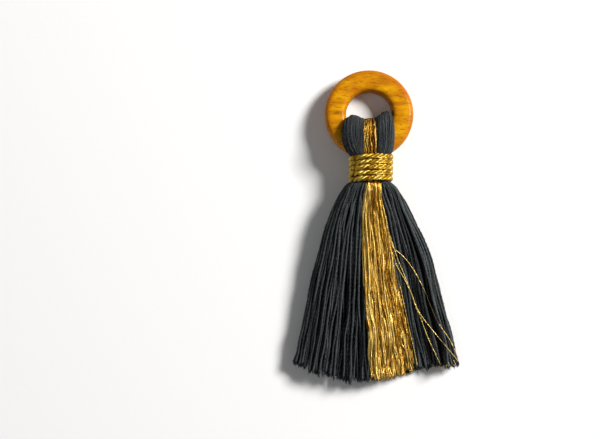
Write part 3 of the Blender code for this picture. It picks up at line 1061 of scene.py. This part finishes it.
def build_binding(gold, rng):
    """The plies, twisted into a cord, which is wound round the neck."""
    points = CORD_POINTS
    turn = np.linspace(-PI / 2, -PI / 2 + 2 * PI * TURNS, points)
    tuck = np.clip(np.minimum(turn - turn[0], turn[-1] - turn) / (PI / 3), 0, 1)
    inset = CORD_INSET + CORD_TUCK * (1 - tuck)
    right, front = squared(np.cos(turn)), squared(np.sin(turn))
    x = (BINDING_WIDE / 2 - inset) * right
    z = BINDING_DEEP / 2 + (BINDING_DEEP / 2 - inset) * front
    down = BINDING_DOWN + CORD_D * (turn - turn[0]) / (2 * PI) - CORD_LEAN * front
    down = down + np.interp(turn, turn[[0, -1]], (0.1, -0.1))
    down = down + wander(rng, 1, points, 24, 0.06)[0]
    core = np.stack([x, down, z], -1)
    ahead = np.gradient(core, axis=0)
    along = np.concatenate([[0], np.linalg.norm(np.diff(core, axis=0), axis=1).cumsum()])
    ahead /= np.linalg.norm(ahead, axis=1)[:, None]
    out = np.stack([right, np.zeros(points), front], -1)
    out -= (out * ahead).sum(1)[:, None] * ahead
    out /= np.linalg.norm(out, axis=1)[:, None]
    side = np.cross(ahead, out)
    lay = 2 * PI * along / CORD_LAY + wander(rng, 1, points, 26, 0.3)[0]
    paths, radii = [], []
    for ply in range(PLIES):
        spin = lay + 2 * PI * ply / PLIES
        swell = PLY_R * (1 + wander(rng, 1, points, 120, 0.06)[0])
        offset = swell[:, None] * (np.cos(spin)[:, None] * out + np.sin(spin)[:, None] * side)
        line = core + offset
        paths.append(in_frame(line[:, 0], line[:, 1], np.maximum(line[:, 2], swell)))
        radii.append(swell)
    return make_strands(
        "binding_cord", np.array(paths), np.array(radii), PLY_PITCH, PLY_SIDES, gold, 41
    )


# ------------------------------------------------------------------- wooden ring


def build_ring(wood):
    """The ring, turned from its profile and laid at its tilt."""
    half = RING_THICK / 2
    middle = (RING_HOLE + RING_OUTER) / 2
    corners = [
        (RING_HOLE, -half),
        (middle, -half - RING_CROWN),
        (RING_OUTER, -half),
        (RING_OUTER, half),
        (middle, half + RING_CROWN),
        (RING_HOLE, half),
    ]
    bm = bmesh.new()
    verts = [bm.verts.new((x * MM, 0.0, z * MM)) for x, z in corners]
    for i, vert in enumerate(verts):
        bm.edges.new((vert, verts[i - 1]))
    for chosen, offset, segments in (
        ((0, 2, 3, 5), RING_EDGE_ROUND, 8),
        ((1, 4), RING_CROWN_ROUND, 4),
    ):
        bmesh.ops.bevel(
            bm,
            geom=[verts[i] for i in chosen],
            affect="VERTICES",
            offset=offset * MM,
            segments=segments,
            profile=0.5,
            material=-1,
        )
    bmesh.ops.spin(
        bm,
        geom=bm.verts[:] + bm.edges[:],
        cent=(0.0, 0.0, 0.0),
        axis=(0.0, 0.0, 1.0),
        angle=2 * PI,
        steps=RING_STEPS,
        use_merge=True,
    )
    bmesh.ops.remove_doubles(bm, verts=bm.verts, dist=1e-6)
    bmesh.ops.recalc_face_normals(bm, faces=bm.faces)
    place = Matrix.Translation(RING_MIDDLE * MM) @ Matrix.Rotation(-RING_TILT, 4, "X")
    bmesh.ops.transform(bm, matrix=place, verts=bm.verts)
    mesh = bpy.data.meshes.new("wooden_ring")
    bm.to_mesh(mesh)
    bm.free()
    mesh.shade_smooth()
    mesh.materials.append(wood)
    ring = bpy.data.objects.new("wooden_ring", mesh)
    bpy.context.scene.collection.objects.link(ring)
    return ring


# ------------------------------------------------------------------------ studio


def light(name, place, size, power, colour, target):
    """A rectangular soft light, aimed at the target."""
    lamp = bpy.data.lights.new(name, "AREA")
    lamp.shape = "RECTANGLE"
    lamp.size, lamp.size_y = size
    lamp.energy = power
    lamp.color = colour
    holder = bpy.data.objects.new(name, lamp)
    holder.location = place
    holder.rotation_euler = (target - Vector(place)).to_track_quat("-Z", "Y").to_euler()
    bpy.context.scene.collection.objects.link(holder)


def build_studio():
    """A pale floor, a soft light from the upper right, a weak fill and a grey room."""
    target = Vector((0.0, 0.0, 0.005))
    bm = bmesh.new()
    bmesh.ops.create_grid(bm, x_segments=1, y_segments=1, size=1.5)
    mesh = bpy.data.meshes.new("floor")
    bm.to_mesh(mesh)
    bm.free()
    floor = bpy.data.objects.new("floor", mesh)
    bpy.context.scene.collection.objects.link(floor)
    material, shader, wire = new_material("pale_floor", Roughness=0.9, Specular_IOR_Level=0.1)
    paper = noise(wire, object_place(wire), 900.0)
    feed(wire, shader, Base_Color=paper.mix(rgb(0.93, 0.93, 0.93), rgb(0.95, 0.95, 0.95)))
    mesh.materials.append(material)
    light("key", (0.9, 0.5, 0.84), (0.36, 0.36), 26.5, (1.0, 0.99, 0.97), target)
    light("fill", (-0.8, -0.2, 1.1), (0.9, 0.9), 1.6, (0.97, 0.99, 1.0), target)
    world = bpy.data.worlds.new("room")
    world.use_nodes = True
    background = world.node_tree.nodes["Background"]
    background.inputs["Color"].default_value = rgb(1.0, 1.0, 1.0)
    background.inputs["Strength"].default_value = 0.13
    bpy.context.scene.world = world
    bpy.context.scene.view_settings.view_transform = "Standard"


def build_camera():
    """The camera looks straight down."""
    lens = bpy.data.cameras.new("camera")
    lens.lens = LENS
    lens.sensor_width = SENSOR
    lens.clip_start = 0.01
    holder = bpy.data.objects.new("camera", lens)
    distance = FRAME_WIDE * LENS / SENSOR
    holder.location = Vector((FRAME_X, FRAME_Y, FRAME_LEVEL + distance)) * MM
    bpy.context.scene.collection.objects.link(holder)
    bpy.context.scene.camera = holder


def finish_piece(piece, slot, *nodes):
    """Ties a piece to its body and hides the plain solids that it replaces. The slot is not used."""
    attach(piece, "root")
    if nodes:
        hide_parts(*nodes)


def main():
    """Makes every piece on its finish, then the studio and the camera."""
    rng = np.random.default_rng(7)
    wood = stained_wood()
    cotton = black_cotton()
    # Each gold's dark stop is a painted shade and its bright stop a painted highlight.
    thread = metallic_thread(
        "gold_thread", rgb(0.12, 0.032, 0.002), rgb(0.68, 0.37, 0.035), rgb(1.0, 0.77, 0.24), 0.38, 0
    )
    cord = metallic_thread(
        "gold_cord", rgb(0.13, 0.045, 0.002), rgb(0.48, 0.27, 0.01), rgb(0.85, 0.61, 0.12), 0.33, 6
    )
    skirt, laid = build_skirt(cotton, rng)
    for piece in skirt:
        finish_piece(piece, "black_cotton", "yarn_hank")
    finish_piece(build_cut_fibres(cotton, laid, rng), "black_cotton")
    fuzz = build_fuzz("skirt_fuzz", cotton, *laid, SKIRT_FUZZ, rng, 14)
    finish_piece(fuzz, "black_cotton")
    head, fuzz = build_lobes(cotton, rng)
    finish_piece(head, "black_cotton", "yarn_hank")
    finish_piece(fuzz, "black_cotton")
    for piece in build_stripe(thread, rng):
        finish_piece(piece, "gold_thread", "stripe_hank")
    finish_piece(build_strays(thread, laid), "gold_thread")
    finish_piece(build_tuft(thread, laid, rng), "gold_thread")
    finish_piece(build_head_stripe(thread, rng), "gold_thread", "stripe_hank")
    finish_piece(build_binding(cord, rng), "gold_cord", "binding")
    finish_piece(build_ring(wood), "stained_wood", "ring")
    build_studio()
    build_camera()


main()
